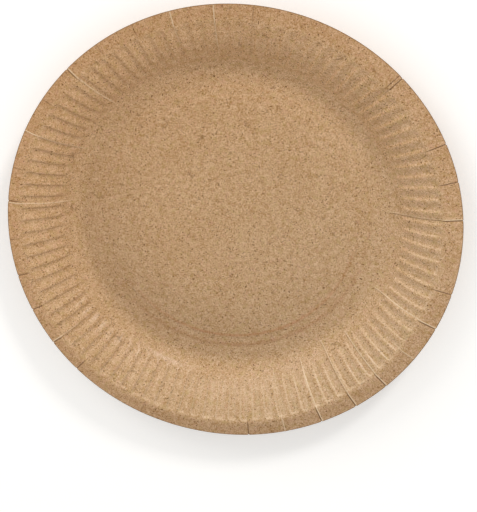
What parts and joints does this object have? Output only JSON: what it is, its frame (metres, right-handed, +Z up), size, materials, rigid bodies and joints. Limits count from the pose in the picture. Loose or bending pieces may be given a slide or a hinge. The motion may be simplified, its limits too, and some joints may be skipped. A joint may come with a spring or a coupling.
{
  "type": "paper plate",
  "caption": "Round disposable dinner plate pressed from kraft board, with a level base, a fluted sloping wall and a plain creased margin.",
  "frame": {"origin": "under the middle of the cut edge, on the surface that the plate stands on", "axes": "+Z up out of the plate, +X towards the side where the plain margin is widest"},
  "size_m": [0.23, 0.23, 0.0177],
  "materials": {
    "board": "matt uncoated recycled kraft board with fine dark specks"
  },
  "bodies": {
    "root": {"plate": "board"}
  },
  "joints": []
}
